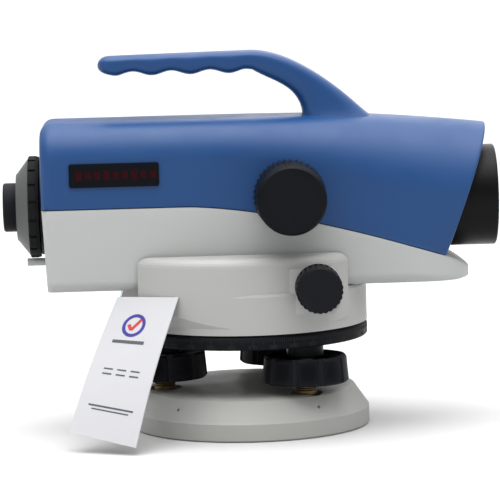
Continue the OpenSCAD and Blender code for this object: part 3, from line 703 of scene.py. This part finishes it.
# ---------------------------------------------------------------- printing on the card tag
def tag_p(u, v):
    """Point on the tag's middle sheet, bowed between its top and bottom edges."""
    top = Vector((-30.3 - 25.7 * u, -44.3 + 13.3 * u, 61.4 - 0.8 * u))
    low = Vector((-49.7 - 27.5 * u, -74 + 13 * u, 3.2 + 5.2 * u))
    return top + (low - top) * v + Vector((-1.2, -2.4, 0)) * math.sin(math.pi * v)


def tag_front(u, v, lift=0.06):
    """Point on the tag's outer face: u 0..1 from its right edge to its left, v 0..1 downwards."""
    du = tag_p(min(1, u + 0.01), v) - tag_p(max(0, u - 0.01), v)
    dv = tag_p(u, min(1, v + 0.01)) - tag_p(u, max(0, v - 0.01))
    n = du.cross(dv).normalized()
    if n.y > 0:
        n = -n
    return tag_p(u, v) + Vector((-0.32, -0.38, 0.02)) + n * lift


def print_on(name, polys, mat):
    """Thin printed patches: each a list of (u, v) corners in card units."""
    vs = []
    fs = []
    na = 6
    nb = 4
    for (u0, v0), (u1, v1), (u2, v2), (u3, v3) in polys:
        base = len(vs)
        for i in range(na + 1):
            for j in range(nb + 1):
                s = i / na
                t = j / nb
                u = (u0 * (1 - s) + u1 * s) * (1 - t) + (u3 * (1 - s) + u2 * s) * t
                v = (v0 * (1 - s) + v1 * s) * (1 - t) + (v3 * (1 - s) + v2 * s) * t
                vs.append(tuple(tag_front(u, v)))
        for i in range(na):
            for j in range(nb):
                q = base + i * (nb + 1) + j
                fs.append((q, q + 1, q + nb + 2, q + nb + 1))
    return piece(name, vs, fs, mat, "alidade", "card", printed=True)


def rect(cu, cv, w, h):
    return [(cu + w / 2, cv - h / 2), (cu - w / 2, cv - h / 2),
            (cu - w / 2, cv + h / 2), (cu + w / 2, cv + h / 2)]


def sweep(points, w):
    """Strokes of width w along (u, v) points, v scaled to the card's shape."""
    out = []
    for (u0, v0), (u1, v1) in zip(points, points[1:]):
        du = u1 - u0
        dv = (v1 - v0) * ASPECT
        n = math.hypot(du, dv)
        pu = -dv / n * w / 2
        pv = du / n * w / 2 / ASPECT
        out.append([(u0 + pu, v0 + pv), (u1 + pu, v1 + pv), (u1 - pu, v1 - pv), (u0 - pu, v0 - pv)])
    return out


# a plain ring with a tick in it, then grey bars; sizes are shares of the card's width
ASPECT = 2.25        # the card's height over its width
MARK_U = 0.55
MARK_V = 0.20
MARK_R = 0.155
STROKE = 0.05
circle = []
for k in range(37):
    a = math.radians(10 * k)
    circle.append((MARK_U + MARK_R * math.cos(a), MARK_V + MARK_R * math.sin(a) / ASPECT))
tick = [(MARK_U + 0.085, MARK_V - 0.005), (MARK_U + 0.02, MARK_V + 0.032),
        (MARK_U - 0.095, MARK_V - 0.045)]
print_on("print_blue", sweep(circle, STROKE), "ink_blue")
print_on("print_red", sweep(tick, STROKE), "ink_red")
print_on("print_band", [rect(0.55, 0.315, 0.50, 0.022)], "ink_grey")
lines = [rect(0.5 + 0.21 * k, 0.51, 0.14, 0.010) for k in (-1, 0, 1)]
lines += [rect(0.5 + 0.21 * k, 0.545, 0.14, 0.010) for k in (-1, 0, 1)]
lines += [rect(0.5, 0.775, 0.68, 0.012), rect(0.5, 0.80, 0.56, 0.009)]
print_on("print_lines", lines, "ink_grey")


# ---------------------------------------------------------------- circle graduations
RING_R = 51.03       # just outside the circle's rim
RING_TOP = 43.3
DIGIT_Z = 39.45      # foot of the numbers
DIGIT_H = 1.25
DIGIT_W = 0.75
DIGIT_STEP = 1.15
DIGIT_STROKE = 0.10  # half of a digit's line

SEG = {"0": "abcdef", "1": "bc", "2": "abged", "3": "abgcd", "4": "fgbc", "5": "afgcd",
       "6": "afgedc", "7": "abc", "8": "abcdefg", "9": "abcdfg"}
BAR = {"a": (0, 1, 1, 1), "b": (1, 1, 1, 0.5), "c": (1, 0.5, 1, 0), "d": (0, 0, 1, 0),
       "e": (0, 0, 0, 0.5), "f": (0, 0.5, 0, 1), "g": (0, 0.5, 1, 0.5)}


def rim_patch(a0, a1, z0, z1):
    """Corners of a mark on the rim between two angles and two heights."""
    return [(RING_R * math.cos(a), RING_R * math.sin(a), z)
            for a, z in ((a0, z0), (a1, z0), (a1, z1), (a0, z1))]


def quads(patches):
    """(verts, faces) of separate four-cornered patches."""
    return ([v for patch in patches for v in patch],
            [tuple(range(4 * k, 4 * k + 4)) for k in range(len(patches))])


def ring_ticks():
    patches = []
    for k in range(360):
        h = 2.6 if k % 10 == 0 else (1.9 if k % 5 == 0 else 1.2)
        w = (0.09 if k % 10 else 0.14) / RING_R
        a = math.radians(k)
        patches.append(rim_patch(a - w, a + w, RING_TOP - h, RING_TOP))
    return quads(patches)


def ring_numbers():
    """Degree numbers every ten degrees, each digit built from straight bars."""
    patches = []
    t = DIGIT_STROKE
    for k in range(0, 360, 10):
        label = str(k)
        left = -len(label) * DIGIT_STEP / 2
        for i, digit in enumerate(label):
            for bar in SEG[digit]:
                x0, y0, x1, y1 = BAR[bar]
                px0 = left + i * DIGIT_STEP + x0 * DIGIT_W
                px1 = left + i * DIGIT_STEP + x1 * DIGIT_W
                lo = min(y0, y1) * DIGIT_H
                hi = max(y0, y1) * DIGIT_H
                if y0 == y1:
                    lo -= t
                    hi += t
                a0 = math.radians(k) + (px0 - t) / RING_R
                a1 = math.radians(k) + (px1 + t) / RING_R
                patches.append(rim_patch(a0, a1, DIGIT_Z + lo, DIGIT_Z + hi))
    return quads(patches)


piece("circle_ticks", *ring_ticks(), "mark", "circle", "charcoal", printed=True)
piece("circle_numbers", *ring_numbers(), "mark", "circle", "charcoal", printed=True)


# ---------------------------------------------------------------- dim bars on the nameplate
PLATE_Y = -31.93
PLATE_Z = 112.3
BAR_X = -72.2
BAR_STEP = 3.9
BAR_W = 2.4


def plate_bars():
    patches = []
    for k in range(9):
        x = BAR_X + k * BAR_STEP
        h = 1.5 if k % 3 else 2.0
        patches.append([(x, PLATE_Y, PLATE_Z - h), (x + BAR_W, PLATE_Y, PLATE_Z - h),
                        (x + BAR_W, PLATE_Y, PLATE_Z + h), (x, PLATE_Y, PLATE_Z + h)])
    return quads(patches)


piece("plate_bars", *plate_bars(), "dim_red", "alidade", "gloss_black", printed=True)


# ---------------------------------------------------------------- floor, light, camera
FLOOR_HALF = 40.0
FLOOR_DROP = 0.0002


def add_floor():
    me = bpy.data.meshes.new("floor")
    f = FLOOR_HALF
    me.from_pydata([(-f, -f, 0), (f, -f, 0), (f, f, 0), (-f, f, 0)], [], [(0, 1, 2, 3)])
    floor = bpy.data.objects.new("floor", me)
    bpy.context.scene.collection.objects.link(floor)
    floor.location.z = -FLOOR_DROP
    white = Mat("floor_white", [0.52, 0.52, 0.52], 0.9, grain=40, bump=0, drift=0.005, spec=0.1)
    me.materials.append(white.m)


def add_sky():
    """A white studio dome, much brighter overhead than at the sides."""
    world = bpy.data.worlds.new("studio")
    bpy.context.scene.world = world
    world.use_nodes = True
    nodes = world.node_tree.nodes
    links = world.node_tree.links
    bg = nodes["Background"]
    sky = nodes.new("ShaderNodeTexCoord")
    height = nodes.new("ShaderNodeSeparateXYZ")
    links.new(sky.outputs["Generated"], height.inputs[0])
    rise = nodes.new("ShaderNodeMath")
    rise.operation = "POWER"
    rise.inputs[1].default_value = 4.0
    links.new(height.outputs["Z"], rise.inputs[0])
    glow = nodes.new("ShaderNodeMapRange")
    glow.inputs["To Min"].default_value = 0.65
    glow.inputs["To Max"].default_value = 5.2
    links.new(rise.outputs[0], glow.inputs["Value"])
    links.new(glow.outputs["Result"], bg.inputs["Strength"])
    bg.inputs["Color"].default_value = (1, 1, 1, 1)


def area(name, loc, target, size, power):
    """A square area light in metres and watts."""
    d = bpy.data.lights.new(name, "AREA")
    d.energy = power
    d.size = size
    o = bpy.data.objects.new(name, d)
    bpy.context.scene.collection.objects.link(o)
    o.location = loc
    o.rotation_mode = "QUATERNION"
    o.rotation_quaternion = (Vector(target) - Vector(loc)).to_track_quat("-Z", "Y")


# the photo's viewpoint
DISTANCE = 1.350
HEIGHT = 0.223
AZIMUTH = math.radians(-1.5)
AIM = Vector((0.00114, 0, 0.07555))
ROLL = math.radians(1.5)
LENS = 226


def add_camera():
    cam = bpy.data.objects.new("camera", bpy.data.cameras.new("camera"))
    bpy.context.scene.collection.objects.link(cam)
    bpy.context.scene.camera = cam
    cam.data.sensor_width = 36
    cam.data.lens = LENS
    cam.data.clip_start = 0.05
    cam.data.clip_end = 50
    cam.location = Vector((DISTANCE * math.sin(AZIMUTH), -DISTANCE * math.cos(AZIMUTH), HEIGHT))
    cam.rotation_mode = "QUATERNION"
    look = (AIM - cam.location).to_track_quat("-Z", "Y")
    cam.rotation_quaternion = look @ Matrix.Rotation(-ROLL, 3, "Z").to_quaternion()


add_floor()
add_sky()
area("key_top", (-0.1, -0.25, 0.95), (0, 0, 0.08), 0.9, 4.0)
area("fill_front", (-0.75, -1.1, 0.45), (0, 0, 0.08), 0.8, 1.0)
area("rim_back", (0.3, 0.9, 0.6), (0, 0, 0.1), 0.7, 1.5)
add_camera()
bpy.context.scene.view_settings.view_transform = "Standard"
